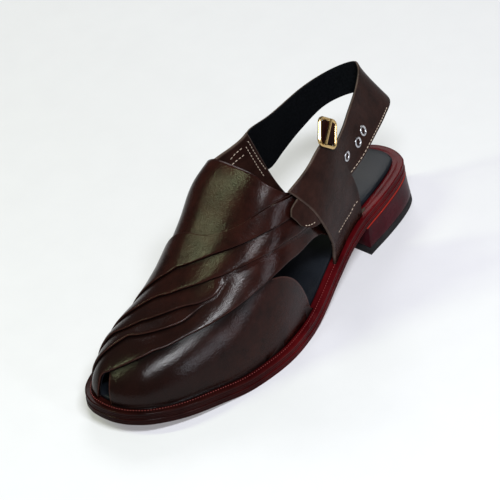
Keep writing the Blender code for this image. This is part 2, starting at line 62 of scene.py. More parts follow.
# x, y of the outer edge, y of the inner edge
OUTLINE = [
    (0, 4, -4), (2, 11, -11.5), (6, 17, -18), (18, 22.5, -26), (40, 27, -30.5), (70, 30.5, -30),
    (105, 37, -27.5), (140, 46.5, -33), (175, 53, -43.5), (205, 51, -50), (235, 43.5, -50),
    (260, 34.5, -44), (280, 22.5, -35.5), (289, 11, -28), (293, 1, -20), (294, -6, -13)]
# x, height of the underside
UNDERSIDE = [
    (0, 27.5), (64, 23.5), (84, 19.5), (104, 12), (128, 4.6), (152, 0), (212, 0), (240, 3.2),
    (262, 5.6), (282, 8.6), (295, 9.6)]


def underside(x):
    """Height of the sole's underside over the floor."""
    return smooth(UNDERSIDE, 1, x)


def outline(inset, count=1440):
    """The sole's edge as a closed loop of plan points, moved inward."""
    outer = [(x, out) for x, out, inn in OUTLINE]
    inner = [(x, inn) for x, out, inn in reversed(OUTLINE)]
    p = np.array(outer + inner, float)
    q = np.vstack([p, p[:1]])
    gap = np.hypot(*np.diff(q, axis=0).T)
    s = np.concatenate([[0], np.cumsum(gap)])
    slope = (np.roll(p, -1, 0) - np.roll(p, 1, 0)) / (gap + np.roll(gap, 1))[:, None]
    slope = np.vstack([slope, slope[:1]])
    t = np.linspace(0, s[-1], count, endpoint=False)
    i = np.clip(np.searchsorted(s, t, side="right") - 1, 0, len(gap) - 1)
    h = gap[i][:, None]
    u = (t - s[i])[:, None] / h
    c = ((1 + 2 * u) * (1 - u) ** 2 * q[i] + u * (1 - u) ** 2 * h * slope[i]
         + u * u * (3 - 2 * u) * q[i + 1] + u * u * (u - 1) * h * slope[i + 1])
    d = np.roll(c, -1, 0) - np.roll(c, 1, 0)
    d /= np.hypot(*d.T)[:, None]
    return c + inset * np.c_[d[:, 1], -d[:, 0]]


def surface(points, close=False, marks=None):
    """A grid laid on rows of points, its columns joined end to end where it closes; marks holds
    numbers for each point, kept as attributes."""
    rows, columns = points.shape[:2]
    bm = bmesh.new()
    layers = {name: bm.verts.layers.float.new(name) for name in marks or {}}
    bmesh.ops.create_grid(bm, x_segments=columns - 1, y_segments=rows - 1, size=1)
    for vert, place in zip(bm.verts, points.reshape(-1, 3)):
        vert.co = place
    for name, layer in layers.items():
        for vert, value in zip(bm.verts, np.broadcast_to(marks[name], (rows, columns)).ravel()):
            vert[layer] = value
    if close:
        bmesh.ops.remove_doubles(bm, verts=bm.verts, dist=0.002)
    return bm


def made(name, bm, materials, slot, *stands_for):
    """A smooth piece of the shoe from a bmesh in millimetres measured from the back of the sole."""
    bmesh.ops.transform(bm, matrix=Matrix.Scale(0.001, 4) @ Matrix.Translation((-32, 0, 0)), verts=bm.verts)
    mesh = bpy.data.meshes.new(name)
    bm.to_mesh(mesh)
    bm.free()
    mesh.shade_smooth()
    for mat in materials:
        mesh.materials.append(mat)
    piece = bpy.data.objects.new(name, mesh)
    bpy.context.scene.collection.objects.link(piece)
    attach(piece, "root")
    if stands_for:
        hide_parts(*stands_for)
    return piece


def put(tree, kind, values=(), **settings):
    """A shader node with its settings, and its sockets linked or given values."""
    made_node = tree.nodes.new(kind)
    for key, value in settings.items():
        setattr(made_node, key, value)
    for socket, value in dict(values).items():
        if isinstance(value, bpy.types.NodeSocket):
            tree.links.new(value, made_node.inputs[socket])
        else:
            made_node.inputs[socket].default_value = value
    return made_node


def ramp(tree, factor, stops):
    """A colour ramp from positions and colours."""
    made_node = put(tree, "ShaderNodeValToRGB", {"Fac": factor})
    elements = made_node.color_ramp.elements
    while len(elements) < len(stops):
        elements.new(0.5)
    for element, (position, colour) in zip(elements, stops):
        element.position = position
        element.color = (*colour, 1)
    return made_node.outputs["Color"]


def shaded(name):
    """A new material with its tree and its own shader."""
    mat = bpy.data.materials.new(name)
    mat.use_nodes = True
    return mat, mat.node_tree, mat.node_tree.nodes["Principled BSDF"]


def wear_group():
    """Large soft patches and fine specks, both from 0 to 1, for any surface of the shoe."""
    tree = bpy.data.node_groups.new("wear", "ShaderNodeTree")
    tree.interface.new_socket("Patches", in_out="OUTPUT", socket_type="NodeSocketFloat")
    tree.interface.new_socket("Specks", in_out="OUTPUT", socket_type="NodeSocketFloat")
    place = put(tree, "ShaderNodeTexCoord").outputs["Object"]
    patches = put(tree, "ShaderNodeTexNoise",
                  {"Vector": place, "Scale": 42, "Detail": 6, "Roughness": 0.6})
    specks = put(tree, "ShaderNodeTexNoise",
                 {"Vector": place, "Scale": 900, "Detail": 3, "Roughness": 0.65})
    put(tree, "NodeGroupOutput", {"Patches": patches.outputs["Fac"], "Specks": specks.outputs["Fac"]})
    return tree


wear = wear_group()


def dye(tree, shader, mask, dark, light):
    """Base colour between two tones over a mask."""
    tree.links.new(ramp(tree, mask, [(0.3, dark), (0.7, light)]), shader.inputs["Base Color"])


def polish(tree, shader, mask, smoothest, roughest):
    """Roughness between two values over a mask."""
    rough = put(tree, "ShaderNodeMapRange", {"Value": mask, "To Min": smoothest, "To Max": roughest})
    tree.links.new(rough.outputs["Result"], shader.inputs["Roughness"])


def relief(tree, shader, height, strength, depth):
    """Bump from a height. Gives the normal back for a coat that follows it."""
    bump = put(tree, "ShaderNodeBump", {"Strength": strength, "Distance": depth, "Height": height})
    tree.links.new(bump.outputs["Normal"], shader.inputs["Normal"])
    return bump.outputs["Normal"]


HEEL_BREAST = 65.0
# How much the heel widens and how far its back rakes out from the sole down to the floor
HEEL_SPREAD = 0.4
HEEL_RAKE = 3.0
# The top piece's thickness, and its share of the heel's height at the back
TOP_PIECE = 6.0
TOP_PIECE_SHARE = 0.218
STACK_LIFT = 0.2
LAYER_GAP = 0.3


def heel(levels):
    """Rings of the heel: for each level, its share of the spread, how far in it is, and its height
    or a function of x that gives it."""
    rings = []
    for spread, inset, height in levels:
        loop = outline(inset - spread * HEEL_SPREAD)
        loop = np.roll(loop, -int(loop[:, 0].argmin()), 0)
        half = len(loop) // 2
        front = HEEL_BREAST - inset
        x = loop[0, 0] + (front - loop[0, 0]) * (1 - np.cos(np.linspace(0, math.pi / 2, 90)))
        outer = np.interp(x, loop[:half, 0], loop[:half, 1])
        inner = np.interp(x, loop[half:, 0][::-1], loop[half:, 1][::-1])
        across = np.linspace(1, 0, 12)[1:-1]
        ring = [(a, b) for a, b in zip(x, outer)]
        ring += [(front, inner[-1] + (outer[-1] - inner[-1]) * t) for t in across]
        ring += [(a, b) for a, b in zip(x[::-1], inner[::-1])]
        rings.append([(a - spread * HEEL_RAKE * (1 - a / HEEL_BREAST), b,
                       height(a) if callable(height) else height) for a, b in ring])
    return np.array(rings)


def capped(rings, marks=None):
    """Rings joined into a closed solid with a flat cap at each end."""
    closed = np.concatenate([rings, rings[:, :1]], axis=1)
    bm = surface(closed, True, marks)
    bmesh.ops.holes_fill(bm, edges=[e for e in bm.edges if e.is_boundary], sides=0)
    bmesh.ops.recalc_face_normals(bm, faces=bm.faces)
    return bm


rubber, tree, shader = shaded("rubber")
marks = put(tree, "ShaderNodeGroup", node_tree=wear)
dye(tree, shader, marks.outputs["Patches"], (0.006, 0.006, 0.007), (0.022, 0.020, 0.020))
polish(tree, shader, marks.outputs["Specks"], 0.5, 0.8)
relief(tree, shader, marks.outputs["Specks"], 0.5, 0.0003)
shader.inputs["Specular IOR Level"].default_value = 0.06
levels = [(1, 0.6, 0.0), (1, 0.15, 0.18), (1, 0, 0.6), (0.85, 0, TOP_PIECE - 1.4),
          (0.8, 0.1, TOP_PIECE - 0.3), (0.8, 0.5, TOP_PIECE)]
made("heel_rubber", capped(heel(levels)), [rubber], "top_piece", "heel_top_piece")

stack, tree, shader = shaded("heel_stack")
marks = put(tree, "ShaderNodeGroup", node_tree=wear)
level = put(tree, "ShaderNodeAttribute", attribute_name="level").outputs["Fac"]
body = ramp(tree, marks.outputs["Patches"], [(0.3, (0.014, 0.0007, 0.002)), (0.7, (0.045, 0.0014, 0.005))])
line = put(tree, "ShaderNodeMapRange", {"Value": level, "From Min": 0.955, "From Max": 0.975})
colour = put(tree, "ShaderNodeMix", {0: line.outputs["Result"], 6: body, 7: (0.30, 0.020, 0.010, 1)},
             data_type="RGBA")
tree.links.new(colour.outputs[2], shader.inputs["Base Color"])
polish(tree, shader, marks.outputs["Patches"], 0.16, 0.34)
relief(tree, shader, marks.outputs["Specks"], 0.15, 0.0003)
shader.inputs["Specular IOR Level"].default_value = 0.02
shader.inputs["Coat Weight"].default_value = 0.05
shader.inputs["Coat Roughness"].default_value = 0.08


def stack_height(share):
    """Height of a level of the stack at x, by its share of the way from the top piece to the sole."""
    return lambda x: (TOP_PIECE + STACK_LIFT
                      + (underside(x) - LAYER_GAP - TOP_PIECE - STACK_LIFT) * share)


shares = [0.0, 0.008, 0.03, 0.25, 0.5, 0.75, 0.93, 0.955, 0.965, 0.985, 1.0]
insets = [0.5, 0.1, 0.0, 0.15, 0.2, 0.15, 0.0, 0.0, 0.12, 0.12, 0.3]
levels = [((1 - TOP_PIECE_SHARE) * (1 - share), inset, stack_height(share))
          for share, inset in zip(shares, insets)]
made("heel_stack", capped(heel(levels), {"level": np.array(shares)[:, None]}), [stack], "heel", "heel_block")


# Sole: two layers of sole leather cemented together and stitched, the upper one a ledge round the
# vamp. Their edges are trimmed with fine grooves, stained deep red and waxed.
OUTSOLE_THICK = 4.6
MIDSOLE_THICK = 4.7
# x, y of the line in the middle of the sole, which the layers' faces shrink towards
SPINE = [(0, -2), (60, -1), (105, 4), (150, 6), (205, 0), (256, -6), (294, -9)]
SPINE_BACK = 26
SPINE_FRONT = 258


def layer(rows, mark, count=230):
    """A closed layer of the sole. Each row is: how far in from the edge, share of the way from
    the spine, height over the underside, and its mark."""
    points = []
    for inset, share, height, value in rows:
        loop = outline(inset)
        loop = np.roll(loop, -int(loop[:, 0].argmin()), 0)
        front = int(loop[:, 0].argmax())
        shares = (1 - np.cos(np.linspace(0, math.pi, count))) / 2
        x = loop[0, 0] + (loop[front, 0] - loop[0, 0]) * shares
        outer = np.interp(x, loop[:front + 1, 0], loop[:front + 1, 1])
        inner = np.interp(x, loop[front:, 0][::-1], loop[front:, 1][::-1])
        ring = np.vstack([np.c_[x, outer], np.c_[x, inner][::-1]])
        along = np.clip(ring[:, 0], SPINE_BACK, SPINE_FRONT)
        spine = np.c_[along, smooth(SPINE, 1, along)]
        plan = spine + (ring - spine) * share
        points.append(np.c_[plan, underside(plan[:, 0]) + height])
    points = np.array(points)
    points = np.concatenate([points, points[:, :1]], axis=1)
    bm = surface(points, True, {mark: np.array([row[3] for row in rows])[:, None]})
    bmesh.ops.recalc_face_normals(bm, faces=bm.faces)
    return bm


def grooved(low, high, grooves, depth=0.28, half=0.22):
    """Rows up the edge of a layer, rounded at both corners and cut by fine grooves."""
    rows = [(0.7, 1, low, 0.1), (0.22, 1, low + 0.12, 0.1), (0.0, 1, low + 0.6, 0.3)]
    for place in grooves:
        rows += [(0.0, 1, place - 1.6 * half, 0.4), (depth, 1, place - 0.4 * half, 1.0),
                 (depth, 1, place + 0.4 * half, 1.0), (0.0, 1, place + 1.6 * half, 0.4)]
    return rows + [(0.0, 1, high - 0.6, 0.3), (0.22, 1, high - 0.12, 0.0), (0.8, 1, high, 0.0)]


rows = ([(1, share, 0.0, 0.0) for share in (0, 0.5, 0.94)] + grooved(0, OUTSOLE_THICK, [1.6, 3.1])
        + [(1, share, OUTSOLE_THICK, 0.0) for share in (0.94, 0.5, 0)])
sole_edge, tree, shader = shaded("sole_edge")
marks = put(tree, "ShaderNodeGroup", node_tree=wear)
groove = put(tree, "ShaderNodeAttribute", attribute_name="groove").outputs["Fac"]
red = ramp(tree, marks.outputs["Patches"],
           [(0.28, (0.030, 0.0012, 0.002)), (0.5, (0.060, 0.0022, 0.0035)), (0.72, (0.095, 0.0040, 0.0050))])
burnt = ramp(tree, marks.outputs["Patches"],
             [(0.3, (0.005, 0.0012, 0.001)), (0.7, (0.018, 0.0035, 0.0028))])
place = put(tree, "ShaderNodeTexCoord").outputs["Object"]
along = put(tree, "ShaderNodeSeparateXYZ", {"Vector": place}).outputs["X"]
toe = put(tree, "ShaderNodeMapRange", {"Value": along, "From Min": 0.10, "From Max": 0.22},
          interpolation_type="SMOOTHSTEP")
body = put(tree, "ShaderNodeMix", {0: toe.outputs["Result"], 6: red, 7: burnt}, data_type="RGBA").outputs[2]
dark = put(tree, "ShaderNodeMapRange", {"Value": groove, "From Min": 0.35, "From Max": 1.0})
colour = put(tree, "ShaderNodeMix", {0: dark.outputs["Result"], 6: body, 7: (0.010, 0.002, 0.002, 1)},
             data_type="RGBA")
tree.links.new(colour.outputs[2], shader.inputs["Base Color"])
polish(tree, shader, marks.outputs["Patches"], 0.2, 0.45)
relief(tree, shader, marks.outputs["Specks"], 0.3, 0.0002)
shader.inputs["Specular IOR Level"].default_value = 0.02
shader.inputs["Coat Weight"].default_value = 0.07
shader.inputs["Coat Roughness"].default_value = 0.15
made("outsole", layer(rows, "groove"), [sole_edge], "outsole", "outsole")

low = OUTSOLE_THICK + 0.12
high = OUTSOLE_THICK + LAYER_GAP + MIDSOLE_THICK
rows = [(1, 0, low, 0), (1, 0.5, low, 0), (1, 0.94, low, 0)]
rows += [(inset + 0.3, share, height, mark)
         for inset, share, height, mark in grooved(low, high, [low + 1.5, low + 3.0])]
rows += [(1.6, 1, high + 0.02, 0.0), (5.2, 1, high, 0.0), (5.6, 1, high - 0.15, 0.0),
         (6.2, 1, high, 0.0), (9.0, 1, high - 0.05, 0.0)]
rows += [(1, share, high - 0.05, 0) for share in (0.6, 0.3, 0)]
made("midsole", layer(rows, "groove"), [sole_edge], "midsole", "midsole")


# Insole: a foam pad covered in black lining leather, glued down inside the ledge. Its edge is
# rounded over and the middle stands a little proud.
INSOLE_INSET = 8.0
INSOLE_THICK = 3.0
INSOLE_ROUND = 1.4
seat = OUTSOLE_THICK + LAYER_GAP + MIDSOLE_THICK
base = seat + 0.1
crown = base + INSOLE_THICK
rows = [(1, 0, base, 0), (1, 0.5, base, 0), (INSOLE_INSET + 0.6, 1, base, 0),
        (INSOLE_INSET, 1, base + 0.3, 0)]
for k in range(6):
    turn = math.pi / 2 * k / 5
    rows.append((INSOLE_INSET + INSOLE_ROUND * (1 - math.cos(turn)), 1,
                 crown - INSOLE_ROUND + INSOLE_ROUND * math.sin(turn), k / 5))
rows += [(INSOLE_INSET + 3.0, 1, crown + 0.25, 1), (INSOLE_INSET + 6, 1, crown + 0.45, 1)]
rows += [(INSOLE_INSET + 6, share, crown + 0.5, 1) for share in (0.75, 0.5, 0.25, 0)]
lining, tree, shader = shaded("black_lining")
marks = put(tree, "ShaderNodeGroup", node_tree=wear)
place = put(tree, "ShaderNodeTexCoord").outputs["Object"]
cells = put(tree, "ShaderNodeTexVoronoi", {"Vector": place, "Scale": 1300}, feature="F1")
dye(tree, shader, marks.outputs["Patches"], (0.003, 0.004, 0.006), (0.010, 0.012, 0.016))
polish(tree, shader, marks.outputs["Patches"], 0.3, 0.5)
relief(tree, shader, cells.outputs["Distance"], 0.25, 0.0002)
shader.inputs["Specular IOR Level"].default_value = 0.12
pad = made("insole", layer(rows, "rim"), [lining], "insole", "insole")


# Upper: strips of glossy oxblood leather with folded edges, each laid over the next one towards
# the toe, glued and sewn over a black lining and lasted down to the ledge. A plain cap lies under
# them at the toe. It stays open along the inner toe slit and at the outer side.
# The last's sections: x, height of the ridge, y of the ridge, bulge outward and inward, fullness
LAST = [
    (55, 215, 0, 0.50, 0.50, 2.6), (80, 190, 0, 0.60, 0.60, 2.6), (100, 168, -1, 0.60, 0.65, 2.7),
    (120, 144, -4, 0.45, 0.80, 2.8), (140, 123, -7, 0.25, 0.85, 2.9), (155, 112, -9, 0.14, 0.80, 2.9),
    (175, 93, -10, 0.05, 0.28, 2.8), (190, 80, -10, 0.0, 0.04, 2.7), (205, 69, -10, 0.0, -0.12, 2.6),
    (220, 61, -10, 0.0, -0.16, 2.5), (240, 53.6, -10, 0.0, -0.12, 2.5), (256, 48.6, -10, 0.0, -0.02, 2.5)]
TOE_SLOPE = -0.3
FEATHER_INSET = 7.3
TOE_CENTRE = 256.0
feather = outline(FEATHER_INSET, 2880)
feather = np.roll(feather, -int(feather[:, 0].argmin()), 0)
tip = int(feather[:, 0].argmax())
feather_out, feather_in = feather[:tip + 1], feather[tip:][::-1]
toe_y = float(smooth(LAST, 2, TOE_CENTRE))
fan = feather[feather[:, 0] >= TOE_CENTRE] - (TOE_CENTRE, toe_y)
fan_turn = np.arctan2(fan[:, 1], fan[:, 0])
fan_far = np.hypot(*fan.T)[np.argsort(fan_turn)]
fan_turn = np.sort(fan_turn)


def reach(x, spine, ux, uy):
    """How far the feather line lies from the spine in a direction."""
    straight = np.where(uy >= 0, np.interp(x, *feather_out.T) - spine, spine - np.interp(x, *feather_in.T))
    round_toe = np.interp(np.arctan2(uy, ux), fan_turn, fan_far)
    return np.where(x >= TOE_CENTRE - 1e-9, round_toe, straight)


def last_points(x, y):
    """The last's surface over points of its unrolled plan: sections straight across up to the
    toe's centre, then fanned round it."""
    sx = np.minimum(x, TOE_CENTRE)
    sy = smooth(LAST, 2, sx)
    away = np.hypot(x - sx, y - sy)
    safe = np.maximum(away, 1e-9)
    ux = np.where(away > 1e-6, (x - sx) / safe, 0.0)
    uy = np.where(away > 1e-6, (y - sy) / safe, 1.0)
    far = reach(sx, sy, ux, uy)
    angle = (1 - np.minimum(away / far, 1.0)) * math.pi / 2
    fullness = 2 / smooth(LAST, 5, sx)
    bulge = np.where(uy > 0, smooth(LAST, 3, sx), smooth(LAST, 4, sx))
    across = far * np.cos(angle) ** fullness * (1 + bulge * np.sin(angle))
    px, py = sx + ux * across, sy + uy * across
    low = underside(px) + seat + LAYER_GAP
    top = smooth(LAST, 1, sx) + TOE_SLOPE * np.maximum(px - TOE_CENTRE, 0.0)
    return np.stack([px, py, low + (top - low) * np.sin(angle) ** fullness], axis=-1)


def on_last(x, y, stand):
    """Points of the unrolled plan stood off the last, and never below the ledge."""
    x, y = np.asarray(x, float), np.asarray(y, float)
    step = 0.2
    sx = np.minimum(x, TOE_CENTRE)
    spine = smooth(LAST, 2, sx)
    away = np.hypot(x - sx, y - spine)
    safe = np.maximum(away, 1e-9)
    far_off = away > 1
    ux, uy = np.where(far_off, (x - sx) / safe, 0.0), np.where(far_off, (y - spine) / safe, 0.0)
    far = np.where(far_off, reach(sx, spine, ux, uy), away + 1)
    held = np.where(far_off, np.minimum(away, far), 0.0)
    place = last_points(np.where(far_off, sx + ux * held, x), np.where(far_off, spine + uy * held, y))
    inside = np.minimum(away, far - 2 * step)
    x = np.where(far_off, sx + ux * inside, x)
    y = np.where(far_off, spine + uy * inside, y)
    along = last_points(x + step, y) - last_points(x - step, y)
    low = np.where(y > spine, y - step, y)
    across = last_points(x, low + step) - last_points(x, low)
    normal = np.cross(along, across)
    normal /= np.linalg.norm(normal, axis=-1, keepdims=True) + 1e-12
    place = place + np.asarray(stand)[..., None] * normal
    place[..., 2] = np.maximum(place[..., 2], underside(place[..., 0]) + seat + 0.05)
    return place


# Edges of the strips on the unrolled last: column, x, y. Column 0 is on the inner welt and column
# 40 is under the outer quarter.
SLIT_COLUMN = 6
CUT_COLUMN = 30
WELT_LINE = [
    (6, 290, -4.5), (8, 288, 5), (10, 283, 14), (13, 271, 26), (16, 256, 33), (21, 224, 43),
    (25, 191, 48), (30, 139.5, 41)]
STRIP_1 = [
    (0, 285.5, -15.2), (3, 279, -14.2), (4, 275, -14), (5, 272.5, -12.9), (6, 270.5, -10.4),
    (10, 252.6, 2.3), (13, 235.8, 8), (16, 219.6, 13.4), (21, 201, 19.3), (25, 190.3, 22.4),
    (30, 177.3, 25.2), (35, 148, 28.4), (40, 110, 28)]
STRIP_2 = [
    (0, 277.5, -30.5), (3, 269.5, -22.5), (6, 261.5, -15), (10, 244.6, -4), (13, 229.2, 2.9),
    (16, 215.2, 5.4), (18, 206, 8.9), (21, 195.4, 9.5), (25, 180.5, 15.8), (30, 161.3, 22.4),
    (35, 137.8, 26), (40, 109, 27.1)]
STRIP_3 = [
    (0, 268, -35.5), (3, 260, -25.5), (6, 253, -15), (10, 237, -7.9), (13, 223.7, -1.6),
    (16, 214.2, 4.4), (18, 205.3, 7.9), (21, 194.8, 8.7), (25, 180, 15.1), (30, 161, 21.8),
    (35, 137.7, 25.4), (40, 109.5, 26.5)]
STRIP_4 = [
    (0, 256, -39.5), (3, 247, -29), (6, 236.8, -18), (10, 225.1, -11.3), (13, 214.8, -6.2),
    (16, 204.9, -0.1), (18, 200, 2.8), (21, 193.2, 7.4), (25, 179.3, 14.3), (30, 160.8, 21.2),
    (35, 137.6, 24.7), (40, 110, 25.9)]
STRIP_5 = [
    (0, 233, -44.5), (3, 226, -33), (6, 217, -20), (10, 208.8, -12.7), (13, 200.2, -8.8),
    (16, 191.6, -3.4), (21, 178.9, 5.3), (25, 168.4, 11), (30, 153.1, 16.9), (35, 137, 19.5),
    (40, 120, 21.3)]
STRIP_5_TOP = [
    (0, 202, -45), (3, 194, -31), (6, 186.8, -16.6), (10, 182.9, -7.9), (13, 177.2, -2.5),
    (16, 170.5, 2.1), (21, 158.8, 7.3), (25, 148.8, 10.6), (30, 137.9, 14), (35, 130, 16.2),
    (40, 122, 17.6)]
COLLAR = [
    (0, 118, -22), (3, 128, -19.5), (6, 139, -17), (10, 146.5, -12), (13, 146.5, -7.5), (16, 146, -2),
    (21, 145.5, 4.5), (25, 143.5, 8.6), (30, 140.5, 12), (35, 134, 15.2), (40, 126, 16.6)]
WALL_TUCKED = 1.0
WALL_EDGE = 2.8
WALL_PLAIN = 1.8
STRIP_2_END = 16
STRIP_3_END = 20
# distance in from a folded edge, share of the fold's height, brightness of the edge's wear and painted
# highlight
FOLD = [(0.5, 0.0, 0.0), (0.12, 0.1, 0.0), (0.0, 0.45, 0.3), (0.06, 0.8, 0.9),
        (0.25, 0.97, 0.6), (0.6, 1.0, 0.05)]
# A strip narrower than this squeezes its folds, and its wall thins towards its far edge by this power
FOLD_ROOM = 2.6
WALL_TAPER = 1.3

beside_a_cut = np.array([-0.07, -0.02, 0.02, 0.07])
columns = np.sort(np.concatenate(
    [np.arange(0, 40.01, 0.2), SLIT_COLUMN + beside_a_cut, CUT_COLUMN + beside_a_cut]))
full = np.ones(len(columns))
fade_2 = np.clip((STRIP_2_END - columns) / 2, 0, 1)
fade_3 = np.clip((STRIP_3_END - columns) / 2, 0, 1)
lines = [np.c_[smooth(t, 1, columns), smooth(t, 2, columns)]
         for t in (WELT_LINE, STRIP_1, STRIP_2, STRIP_3, STRIP_4, STRIP_5, STRIP_5_TOP, COLLAR)]
# The panels between those lines, from the toe cap to the collar band: how much of its folded edge
# each has, its wall at that edge and at its far edge, rows between
PANELS = [
    (None, WALL_PLAIN, WALL_TUCKED, 18), (full, WALL_EDGE, WALL_TUCKED, 10),
    (fade_2, WALL_EDGE, WALL_TUCKED, 8), (fade_3, WALL_EDGE, WALL_TUCKED, 8),
    (full, WALL_EDGE, WALL_TUCKED, 8), (full, WALL_EDGE, WALL_EDGE, 12),
    (None, WALL_TUCKED, WALL_PLAIN, 20)]
cap_rows = 1 + PANELS[0][3]
plans, stands, wear_and_highlight, painted_shadow = [], [], [], []


def row(near, far, share, stand, bright, shadow_mark):
    """Adds a row of the upper between two lines, with its distance off the last and its marks."""
    plans.append(near + (far - near) * share[:, None])
    stands.append(stand * full)
    wear_and_highlight.append(bright * full)
    painted_shadow.append(shadow_mark * full)


for number, (fold, wall_near, wall_far, steps) in enumerate(PANELS):
    near, far = lines[number], lines[number + 1]
    # The foot of each fold, and a panel's far end where it slips under the next strip's fold, are marked for
    # painted shadow
    tucked_under = PANELS[number + 1][0] if wall_far == WALL_TUCKED else 0 * full
    length = np.hypot(*(far - near).T)
    squeeze = np.minimum(1.0, length / FOLD_ROOM) / length
    start = 0 * full
    if fold is not None:
        for d, share, bright in FOLD:
            row(near, far, d * squeeze, WALL_TUCKED + (wall_near - WALL_TUCKED) * share * fold,
                bright * fold, max(1 - share * 1.2, 0.0) * fold)
        start = FOLD[-1][0] * squeeze
        wall_near = WALL_TUCKED + (wall_near - WALL_TUCKED) * fold
    reaches = 0.97 if wall_far == WALL_EDGE else 1.0
    for k in range(0 if fold is None else 1, steps + 1):
        share = k / steps
        row(near, far, start + (1 - start) * share * reaches,
            wall_near + (wall_far - wall_near) * share ** WALL_TAPER, 0.0,
            max(share * 6 - 5, 0.0) * tucked_under)
    if wall_far == WALL_EDGE:
        for d, share, bright in reversed(FOLD):
            row(near, far, 1 - d * squeeze, WALL_TUCKED + (WALL_EDGE - WALL_TUCKED) * share,
                0.6 * bright, max(1 - share * 1.6, 0.0))
plans, stands, wear_and_highlight, painted_shadow = [np.array(part) for part in (plans, stands, wear_and_highlight, painted_shadow)]
# The cap's cut edges at the slit and at the outer side are lightened as a painted highlight
cut_edges = np.minimum(abs(columns - SLIT_COLUMN), abs(columns - CUT_COLUMN)) < 0.1
wear_and_highlight[:cap_rows] += cut_edges


def hollow(outside, inside, marks, keep=None, lined=True):
    """A wall between two faces laid on the same grid, its inner side in the second material where
    it is lined."""
    bm = surface(outside, False, marks)
    number = bm.verts.layers.int.new("number")
    for k, vert in enumerate(bm.verts):
        vert[number] = k
    if keep is not None:
        gone = [face for face in bm.faces if not all(keep[vert[number]] for vert in face.verts)]
        bmesh.ops.delete(bm, geom=gone, context="FACES")
    grown = bmesh.ops.extrude_face_region(bm, geom=list(bm.faces))["geom"]
    inner = {item for item in grown if isinstance(item, bmesh.types.BMVert)}
    lying = inside.reshape(-1, 3)
    for vert in inner:
        vert.co = lying[vert[number]]
    for face in bm.faces:
        face.material_index = int(lined and all(vert in inner for vert in face.verts))
    bm.verts.layers.int.remove(number)
    bmesh.ops.recalc_face_normals(bm, faces=bm.faces)
    return bm


def leather_group():
    """The face of the leather: fine pebbled grain and shallow creases as a height, and the mottling
    of its dye and of its gloss as masks."""
    tree = bpy.data.node_groups.new("leather_face", "ShaderNodeTree")
    for name in ("Height", "Mottle", "Gloss"):
        tree.interface.new_socket(name, in_out="OUTPUT", socket_type="NodeSocketFloat")
    place = put(tree, "ShaderNodeTexCoord").outputs["Object"]
    cells = put(tree, "ShaderNodeTexVoronoi", {"Vector": place, "Scale": 1500}, feature="F1")
    folds = put(tree, "ShaderNodeTexNoise",
                {"Vector": place, "Scale": 130, "Detail": 5, "Roughness": 0.55, "Distortion": 0.6})
    soft = put(tree, "ShaderNodeTexNoise",
               {"Vector": place, "Scale": 26, "Detail": 3, "Roughness": 0.5})
    fine = put(tree, "ShaderNodeTexNoise",
               {"Vector": place, "Scale": 620, "Detail": 3, "Roughness": 0.6})
    pores = put(tree, "ShaderNodeMath", {0: cells.outputs["Distance"], 1: 0.10}, operation="MULTIPLY")
    grain = put(tree, "ShaderNodeMath", {0: fine.outputs["Fac"], 1: 0.26, 2: pores.outputs[0]},
                operation="MULTIPLY_ADD")
    both = put(tree, "ShaderNodeMath", {0: folds.outputs["Fac"], 1: 0.22, 2: grain.outputs[0]},
               operation="MULTIPLY_ADD")
    mottle = put(tree, "ShaderNodeTexNoise",
                 {"Vector": place, "Scale": 75, "Detail": 8, "Roughness": 0.68})
    put(tree, "NodeGroupOutput",
        {"Height": both.outputs[0], "Mottle": mottle.outputs["Fac"], "Gloss": soft.outputs["Fac"]})
    return tree


leather_face = leather_group()


